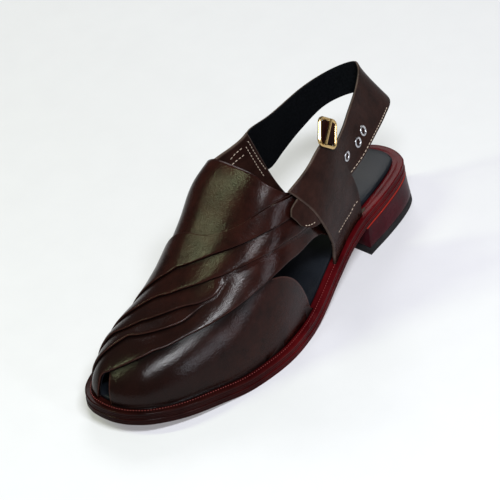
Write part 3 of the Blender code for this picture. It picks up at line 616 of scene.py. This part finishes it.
def leather(name, dark, light, gloss, toe_dark=0.0, edge=(0.050, 0.018, 0.013)):
    """Polished leather, burnished darker towards the toe. Its edges are lighter in the edge colour for
    wear and a painted highlight, and a near-black painted shadow without the coat lies where strips
    close on each other. Gloss is the weight of its wax coat."""
    mat, tree, shader = shaded(name)
    face = put(tree, "ShaderNodeGroup", node_tree=leather_face)
    body = ramp(tree, face.outputs["Mottle"], [(0.32, dark), (0.68, light)])
    place = put(tree, "ShaderNodeTexCoord").outputs["Object"]
    along = put(tree, "ShaderNodeSeparateXYZ", {"Vector": place}).outputs["X"]
    toe = put(tree, "ShaderNodeMapRange",
              {"Value": along, "From Min": 0.14, "From Max": 0.235, "To Max": toe_dark},
              interpolation_type="SMOOTHSTEP")
    burnished = put(tree, "ShaderNodeMix",
                    {0: toe.outputs["Result"], 6: body, 7: (0.006, 0.0025, 0.002, 1)}, data_type="RGBA")
    # Edges lightened in the edge colour, for wear and for a painted highlight on their rounded crest
    wear_and_highlight = put(tree, "ShaderNodeAttribute", attribute_name="wear_and_highlight").outputs["Fac"]
    edge_wear_and_highlight = put(tree, "ShaderNodeMath", {0: wear_and_highlight, 1: face.outputs["Mottle"]}, operation="MULTIPLY")
    worn_and_highlit = put(tree, "ShaderNodeMix", {0: edge_wear_and_highlight.outputs[0], 6: burnished.outputs[2], 7: (*edge, 1)},
                 data_type="RGBA")
    # Painted shadow, near black, where strips close on each other and along the foot of the upper
    shadow_mark = put(tree, "ShaderNodeAttribute", attribute_name="painted_shadow").outputs["Fac"]
    colour = put(tree, "ShaderNodeMix", {0: shadow_mark, 6: worn_and_highlit.outputs[2], 7: (0.002, 0.001, 0.001, 1)},
                 data_type="RGBA")
    tree.links.new(colour.outputs[2], shader.inputs["Base Color"])
    rough = put(tree, "ShaderNodeMapRange", {"Value": face.outputs["Gloss"], "From Min": 0.3,
                                             "From Max": 0.7, "To Min": 0.22, "To Max": 0.32})
    tree.links.new(rough.outputs["Result"], shader.inputs["Roughness"])
    grain = relief(tree, shader, face.outputs["Height"], 0.75, 0.0006)
    tree.links.new(grain, shader.inputs["Coat Normal"])
    # The painted shadow also takes away the wax coat's gloss
    sheen = put(tree, "ShaderNodeMapRange", {"Value": shadow_mark, "To Min": gloss, "To Max": 0.0})
    tree.links.new(sheen.outputs["Result"], shader.inputs["Coat Weight"])
    shader.inputs["Specular IOR Level"].default_value = gloss / 4
    shader.inputs["Coat IOR"].default_value = 1.4
    shader.inputs["Coat Roughness"].default_value = 0.12
    return mat


oxblood = leather("oxblood_leather", (0.0065, 0.0018, 0.0014), (0.021, 0.0052, 0.0036), 0.20, 0.8)
present = np.ones(plans.shape[:2], bool)
present[:cap_rows] = (columns >= SLIT_COLUMN - 0.05) & (columns <= CUT_COLUMN + 0.05)
upper_out = on_last(plans[..., 0], plans[..., 1], stands)
upper_in = on_last(plans[..., 0], plans[..., 1], np.full(plans.shape[:2], 0.05))
# Painted shadow on the upper wherever it comes within this height of the ledge
FOOT_SHADOW = 2.2
above_ledge = upper_out[..., 2] - underside(upper_out[..., 0]) - seat
painted_shadow = np.maximum(painted_shadow, np.clip(FOOT_SHADOW - above_ledge, 0, 1))
shell = hollow(upper_out, upper_in, {"wear_and_highlight": wear_and_highlight, "painted_shadow": painted_shadow}, present.ravel())
made("upper", shell, [oxblood, lining], "upper", "upper")


# Quarters: two leather wings on the sides, their edges folded over and sewn, lasted under the
# insole. The outer one's folded head carries the buckle, and the strap's end is sewn to the inner.
# Edges on the unrolled last: share of the way along, x, y. Stand off it: share of the way up, mm
QUARTER_FOOT = [(0, 58, 24), (0.5, 80, 28), (1, 99, 32)]
QUARTER_HEAD = [(0, 97, 19.3), (0.3, 110, 14.1), (0.65, 126, 13.2), (1, 140, 11.8)]
QUARTER_BACK = [(0, 58, 24), (0.15, 64, 22.6), (0.4, 74, 21.9), (0.6, 80, 21.3), (1, 97, 19.3)]
QUARTER_FRONT = [(0, 99, 32), (0.2, 107, 29.4), (0.4, 116, 28.6), (0.6, 126, 25.5), (0.8, 136, 17.2),
                 (1, 140, 11.8)]
QUARTER_STAND = [(0, 0.3), (0.15, 1.6), (0.3, 4.6), (0.45, 5.8), (1, 5.8)]
INNER_FOOT = [(0, 62, -25), (0.5, 88, -25), (1, 112, -25)]
INNER_HEAD = [(0, 107, -13.5), (0.4, 119, -14.2), (1, 139, -15.3)]
INNER_BACK = [(0, 62, -25), (0.35, 82, -21.0), (0.6, 92, -18.4), (1, 107, -13.5)]
INNER_FRONT = [(0, 112, -25), (0.4, 124, -21), (0.7, 134, -18.5), (1, 139, -15.3)]
INNER_STAND = [(0, 0.1), (0.08, 0.9), (0.2, 2.3), (1, 2.3)]


def leaf(outside, inside, rounding=1.3, lined=False):
    """A sheet between two faces whose edges are rounded over all round."""
    middle, half = (outside + inside) / 2, (outside - inside) / 2

    def from_border(axis):
        """Distance over the sheet from the nearer of its two ends along an axis of the grid."""
        gaps = np.linalg.norm(np.diff(middle, axis=axis), axis=2)
        start = np.zeros_like(np.take(gaps, [0], axis))
        run = np.concatenate([start, np.cumsum(gaps, axis=axis)], axis=axis)
        return np.minimum(run, np.take(run, [-1], axis) - run)

    near = np.clip(np.minimum(from_border(0), from_border(1)) / rounding, 0, 1)
    full_at = np.maximum(np.sqrt(1 - (1 - near) ** 2), 0.06)[..., None]
    # Marked lighter towards the edges: wear and a painted highlight in the leather's edge colour
    marks = {"wear_and_highlight": np.clip(1 - near * 0.9, 0, 1) * 0.55}
    return hollow(middle + half * full_at, middle - half * full_at, marks, None, lined)


def patch(foot, head, back, front, ups, forwards):
    """Rows of plan points filling the space between four edges."""
    def edge(table, t):
        """Points of an edge at shares of the way along it."""
        return np.stack([smooth(table, 1, t), smooth(table, 2, t)], axis=-1)

    v, u = ups[:, None, None], forwards[None, :, None]
    corners = ((1 - u) * (1 - v) * edge(foot, 0.0) + u * (1 - v) * edge(foot, 1.0)
               + (1 - u) * v * edge(head, 0.0) + u * v * edge(head, 1.0))
    return ((1 - v) * edge(foot, forwards)[None] + v * edge(head, forwards)[None]
            + (1 - u) * edge(back, ups)[:, None] + u * edge(front, ups)[:, None] - corners)


QUARTER_WALL = 2.4
INNER_WALL = 2.2
# Its pale edge colour paints a highlight along the cut edges of the quarters and the strap
wing_leather = leather("wing_leather", (0.0060, 0.0015, 0.0011), (0.018, 0.0042, 0.0028), 0.045,
                       edge=(0.22, 0.17, 0.14))


def quarter(name, edges, stand_off, wall):
    """One wing with leather on both faces. Gives its two faces back for the stitches."""
    spread = (1 - np.cos(np.linspace(0, math.pi, 57))) / 2
    plan = patch(*edges, spread, spread)
    stand = np.repeat(smooth(stand_off, 1, spread)[:, None], len(spread), axis=1)
    outer_face = on_last(plan[..., 0], plan[..., 1], stand + wall)
    inner_face = on_last(plan[..., 0], plan[..., 1], stand)
    made(name, leaf(outer_face, inner_face), [wing_leather], "upper", name)
    return outer_face, inner_face


outer_wing, _ = quarter("quarter_outer", (QUARTER_FOOT, QUARTER_HEAD, QUARTER_BACK, QUARTER_FRONT),
                        QUARTER_STAND, QUARTER_WALL)
_, inner_wing = quarter("quarter_inner", (INNER_FOOT, INNER_HEAD, INNER_BACK, INNER_FRONT),
                        INNER_STAND, INNER_WALL)


# Sling strap: a band of the same leather lined in black, sewn to the inner quarter, round the back
# of the heel and down inside the outer quarter. Its edges are cut and dyed, with a light stitch row.
# Its sewn end on the unrolled last: x, y of the upper edge, of the lower edge
SEWN_END = [(109, -14.4, 97, -17.6), (101, -13.9, 87, -18.8)]
SEWN_STAND = 6.0
# Its free length: x, y, z of the upper edge, of the lower edge
SLING = [
    (76, -33, 103, 70, -31.5, 70.5),
    (49, -30, 107, 54, -29, 78), (30, -27, 108, 36, -25, 85), (17, -21, 110, 23, -16, 90),
    (10, -14, 111.5, 12, -8, 90), (12, -9, 111, 3, -1, 86), (20, -2, 112, 4, 8.5, 82.5),
    (36, 8, 112, 21.5, 18, 84), (58, 20, 113.5, 46, 27.5, 85), (74, 27.5, 112, 62, 30.5, 81)]
# Its tail on the unrolled last: x, y of the upper edge, of the lower edge, distance off the last
TAIL = [(99, 18.2, 82, 21.8, 4.2), (112, 16.4, 96, 23.6, 4.2), (126, 15.6, 111, 24.8, 4.6),
        (137.5, 15.6, 126, 25.4, 6.0), (144, 15.6, 136, 24.4, 6.6), (147, 17.0, 143.5, 21.4, 6.8)]
STRAP_THICK = 2.2
STRAP_ROWS = 4


def edge_to_edge(station, stand):
    """Points across the strap where it lies against the last."""
    a, b = np.array(station[:2], float), np.array(station[2:], float)
    line = a + (b - a) * np.linspace(0, 1, STRAP_ROWS + 1)[:, None]
    return on_last(line[:, 0], line[:, 1], stand)


stations = [edge_to_edge(s, SEWN_STAND) for s in SEWN_END]
for station in SLING:
    top, low = np.array(station[:3], float), np.array(station[3:], float)
    stations.append(top + (low - top) * np.linspace(0, 1, STRAP_ROWS + 1)[:, None])
stations = np.array(stations + [edge_to_edge(s[:4], s[4]) for s in TAIL])


def spline(points, t):
    """Catmull-Rom through points along the first axis, at shares of their count."""
    count = len(points) - 1
    place = np.clip(t, 0, 1) * count
    i = np.minimum(place.astype(int), count - 1)
    u = (place - i).reshape(-1, *[1] * (points.ndim - 1))
    a, b, c, d = [points[np.clip(i + k, 0, count)] for k in (-1, 0, 1, 2)]
    return 0.5 * (2 * b + (c - a) * u + (2 * a - 5 * b + 4 * c - d) * u * u
                  + (3 * b - a - 3 * c + d) * u ** 3)


def strap_at(t, across):
    """Points of the strap's middle and their outward directions, on a grid of shares."""
    def place(t, across):
        """Points at shares of the way along the strap and across it."""
        return np.swapaxes(spline(np.swapaxes(spline(stations, t), 0, 1), across), 0, 1)

    along = place(t + 0.004, across) - place(t - 0.004, across)
    down = place(t, np.clip(across + 0.06, 0, 1)) - place(t, np.clip(across - 0.06, 0, 1))
    out = np.cross(along, down)
    return place(t, across), out / (np.linalg.norm(out, axis=-1, keepdims=True) + 1e-12)


suede, tree, shader = shaded("black_suede")
marks = put(tree, "ShaderNodeGroup", node_tree=wear)
dye(tree, shader, marks.outputs["Specks"], (0.0008, 0.0010, 0.0014), (0.0035, 0.0040, 0.0050))
polish(tree, shader, marks.outputs["Patches"], 0.8, 1.0)
relief(tree, shader, marks.outputs["Specks"], 0.6, 0.0003)
shader.inputs["Specular IOR Level"].default_value = 0.03
middle, out = strap_at(np.linspace(0, 1, 260), (1 - np.cos(np.linspace(0, math.pi, 25))) / 2)
made("sling_strap", leaf(middle + out * STRAP_THICK / 2, middle - out * STRAP_THICK / 2, 0.5, True),
     [wing_leather, suede], "strap", "sling_strap")


# Stitching: light waxed thread along the lower edge of the strap and of its tail, in pairs down the
# rear and under the head of the inner quarter, and along the foot of the outer one. The red marks on
# the sole's ledge are pressed in by a wheel.
THREAD_LIFT = 0.02
thread, tree, shader = shaded("thread")
marks = put(tree, "ShaderNodeGroup", node_tree=wear)
dye(tree, shader, marks.outputs["Specks"], (0.26, 0.19, 0.14), (0.52, 0.42, 0.33))
polish(tree, shader, marks.outputs["Specks"], 0.55, 0.9)


def stitches(name, path, out, length, pitch, radius, material=thread):
    """Short rounded stitches along a line that lies on the leather."""
    run = np.concatenate([[0], np.cumsum(np.linalg.norm(np.diff(path, axis=0), axis=1))])
    bm = bmesh.new()
    for at in np.arange(pitch, run[-1] - pitch, pitch):
        centre, near, far = [np.array([np.interp(at + d, run, path[:, k]) for k in range(3)])
                             for d in (0, -length / 2, length / 2)]
        up = Vector([np.interp(at, run, out[:, k]) for k in range(3)]).normalized()
        along = Vector(far - near).normalized()
        side = up.cross(along).normalized()
        turn = Matrix((along, side, along.cross(side))).transposed().to_4x4()
        bmesh.ops.create_icosphere(bm, subdivisions=2, radius=1,
                                   matrix=Matrix.Translation(Vector(centre)) @ turn
                                   @ Matrix.Diagonal((length / 2, radius, radius, 1)))
    return made(name, bm, [material], "strap")


def across_sheet(face, plan_points):
    """A line over a wing's face: shares up and forward, read between the face's own points."""
    shares = (1 - np.cos(np.linspace(0, math.pi, len(face)))) / 2
    steps = np.linspace(0, 1, 60)
    table = [(t, *place) for t, place in plan_points]
    up, forward = [np.interp(smooth(table, column, steps), shares, np.arange(len(face)))
                   for column in (1, 2)]
    i, j = np.minimum(up.astype(int), len(face) - 2), np.minimum(forward.astype(int), len(face) - 2)
    u, v = (up - i)[:, None], (forward - j)[:, None]
    below = face[i, j] * (1 - v) + face[i, j + 1] * v
    above = face[i + 1, j] * (1 - v) + face[i + 1, j + 1] * v
    line = below * (1 - u) + above * u
    normal = np.cross(face[i, j + 1] - face[i, j], face[i + 1, j] - face[i, j])
    return line, normal / np.linalg.norm(normal, axis=1, keepdims=True)


middle, out = strap_at(np.linspace(0.50, 0.735, 160), np.array([0.0, 0.92]))
face = middle + out * (STRAP_THICK / 2 + THREAD_LIFT)
stitches("strap_stitches", face[:, 1], out[:, 1], 2.3, 3.1, 0.36)
middle, out = strap_at(np.linspace(0.90, 0.985, 80), np.array([0.0, 0.86]))
face = middle + out * (STRAP_THICK / 2 + THREAD_LIFT)
stitches("tail_stitches", face[:, 1], out[:, 1], 2.0, 2.8, 0.32)
for name, line in (("inner_rear_1", [(0, (0.97, 0.09)), (0.5, (0.84, 0.075)), (1, (0.66, 0.03))]),
                   ("inner_rear_2", [(0, (0.95, 0.19)), (0.5, (0.82, 0.16)), (1, (0.66, 0.11))]),
                   ("inner_head_1", [(0, (0.95, 0.22)), (0.5, (0.94, 0.45)), (1, (0.90, 0.70))]),
                   ("inner_head_2", [(0, (0.90, 0.24)), (0.5, (0.89, 0.46)), (1, (0.86, 0.70))])):
    path, normal = across_sheet(inner_wing, line)
    stitches(name, path, normal, 2.2, 3.0, 0.36)
path, normal = across_sheet(
    outer_wing, [(0, (0.27, 0.05)), (0.3, (0.225, 0.3)), (0.65, (0.28, 0.6)), (1, (0.35, 0.86))])
stitches("outer_foot", path, -normal, 2.2, 3.0, 0.34)

WHEEL_INSET = 3.9
WHEEL_FROM = 60
edge = outline(WHEEL_INSET)
edge = edge[edge[:, 0] > WHEEL_FROM]
gap_at = int(np.argmax(np.hypot(*np.diff(edge, axis=0, append=edge[:1]).T)))
edge = np.roll(edge, -gap_at - 1, axis=0)
welt = np.c_[edge, underside(edge[:, 0]) + seat + THREAD_LIFT]
wheel_red, tree, shader = shaded("wheel_marks")
marks = put(tree, "ShaderNodeGroup", node_tree=wear)
dye(tree, shader, marks.outputs["Specks"], (0.10, 0.010, 0.010), (0.24, 0.035, 0.030))
shader.inputs["Roughness"].default_value = 0.6
stitches("welt_marks", welt, np.broadcast_to((0.0, 0.0, 1.0), welt.shape), 1.0, 1.9, 0.3, wheel_red)


# Eyelets: nickelled rings pressed into the strap's outer length for the buckle's prong, their barrels
# rolled over on the strap's face. Name, share of the way along the strap, share of the way down it
EYELETS = [("eyelet_1", 0.596, 0.60), ("eyelet_2", 0.632, 0.60), ("eyelet_3", 0.680, 0.57)]
nickel, tree, shader = shaded("nickel")
marks = put(tree, "ShaderNodeGroup", node_tree=wear)
dye(tree, shader, marks.outputs["Patches"], (0.42, 0.42, 0.44), (0.66, 0.66, 0.68))
polish(tree, shader, marks.outputs["Specks"], 0.18, 0.4)
shader.inputs["Metallic"].default_value = 1.0
for name, t, across in EYELETS:
    middle, out = strap_at(np.array([t]), np.array([across]))
    turn = Vector(out[0, 0]).to_track_quat("Z", "Y").to_matrix().to_4x4()
    face = STRAP_THICK / 2
    # radius, height over the strap's middle
    profile = [(2.3, -face - 0.1), (2.5, -face - 0.35), (3.4, -face - 0.3), (3.6, -face), (2.6, -face),
               (2.6, face), (3.6, face - 0.05), (3.7, face + 0.2), (3.4, face + 0.5), (3.0, face + 0.6),
               (2.55, face + 0.5), (2.3, face + 0.2), (2.25, face - 0.3)]
    bm = bmesh.new()
    ring = [bm.verts.new((r, 0, h)) for r, h in profile]
    loop = [bm.edges.new((a, b)) for a, b in zip(ring, ring[1:] + ring[:1])]
    bmesh.ops.spin(bm, geom=ring + loop, cent=(0, 0, 0), axis=(0, 0, 1), angle=math.tau, steps=48)
    bmesh.ops.remove_doubles(bm, verts=bm.verts, dist=0.001)
    bmesh.ops.recalc_face_normals(bm, faces=bm.faces)
    bmesh.ops.transform(bm, matrix=Matrix.Translation(Vector(middle[0, 0])) @ turn, verts=bm.verts)
    made(name, bm, [nickel], "eyelets", name)


# Buckle: a bent brass wire frame that stands on the outer quarter's folded head, its prong from the
# lower bar to the upper one, and behind them the leather tab that fills the frame.
brass, tree, shader = shaded("brass_wire")
marks = put(tree, "ShaderNodeGroup", node_tree=wear)
dye(tree, shader, marks.outputs["Patches"], (0.42, 0.27, 0.10), (0.72, 0.52, 0.24))
polish(tree, shader, marks.outputs["Specks"], 0.14, 0.36)
shader.inputs["Metallic"].default_value = 1.0
for node in ("buckle_frame", "buckle_prong"):
    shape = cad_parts[node]
    shape.data.materials.clear()
    shape.data.materials.append(brass)
    shape.data.shade_smooth()
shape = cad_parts["buckle_tab"]
shape.data.materials.clear()
shape.data.materials.append(wing_leather)


# Studio: a pale seamless floor, four soft boxes placed by how far right, up and back they are from
# the shoe as the camera sees it, and the camera at the photo's angle.
floor_mesh = bpy.data.meshes.new("floor")
bm = bmesh.new()
bmesh.ops.create_grid(bm, x_segments=1, y_segments=1, size=8)
bm.to_mesh(floor_mesh)
bm.free()
floor = bpy.data.objects.new("floor", floor_mesh)
bpy.context.scene.collection.objects.link(floor)
paper, tree, shader = shaded("paper")
marks = put(tree, "ShaderNodeGroup", node_tree=wear)
tree.links.new(ramp(tree, marks.outputs["Patches"], [(0.2, (0.43, 0.43, 0.45)), (0.8, (0.45, 0.45, 0.47))]),
               shader.inputs["Base Color"])
shader.inputs["Roughness"].default_value = 0.9
shader.inputs["Specular IOR Level"].default_value = 0.1
shader.inputs["Emission Color"].default_value = (1.0, 0.97, 1.0, 1)
shader.inputs["Emission Strength"].default_value = 0.26
floor_mesh.materials.append(paper)

RIGHT = Vector((-0.635, 0.761, -0.129))
UP = Vector((-0.545, -0.324, 0.773))
BACK = Vector((0.547, 0.562, 0.621))
AIM = Vector((0.11, 0.0, 0.05))
EYE = Vector((1.268345, 1.183041, 1.358398))


def softbox(name, right, up, back, size, power, colour):
    """A rectangular lamp that faces the shoe."""
    data = bpy.data.lights.new(name, "AREA")
    data.shape = "RECTANGLE"
    data.size, data.size_y = size
    data.energy = power
    data.color = colour
    light = bpy.data.objects.new(name, data)
    light.location = AIM + RIGHT * right + UP * up + BACK * back
    light.rotation_euler = (light.location - AIM).to_track_quat("Z", "Y").to_euler()
    bpy.context.scene.collection.objects.link(light)


softbox("left", -1.10, 0.62, 0.72, (0.055, 0.75), 8.5, (0.86, 1.0, 0.56))
softbox("front", 0.12, 0.48, 1.35, (0.62, 0.16), 26, (0.93, 0.96, 1.0))
softbox("low", 0.95, -0.2, 1.15, (0.12, 0.5), 4.5, (0.86, 0.91, 1.0))
softbox("top", -0.2, 1.8, -0.3, (0.9, 0.5), 13, (1.0, 1.0, 1.0))
world = bpy.data.worlds.new("studio")
world.use_nodes = True
world.node_tree.nodes["Background"].inputs["Color"].default_value = (0.95, 0.97, 1.0, 1)
world.node_tree.nodes["Background"].inputs["Strength"].default_value = 0.12
bpy.context.scene.world = world
bpy.context.scene.view_settings.view_transform = "Standard"

lens = bpy.data.cameras.new("camera")
lens.lens = 230.4
lens.sensor_width = 36
lens.clip_end = 50
camera = bpy.data.objects.new("camera", lens)
camera.rotation_euler = Matrix((RIGHT, UP, BACK)).transposed().to_euler()
camera.location = EYE
bpy.context.scene.collection.objects.link(camera)
bpy.context.scene.camera = camera
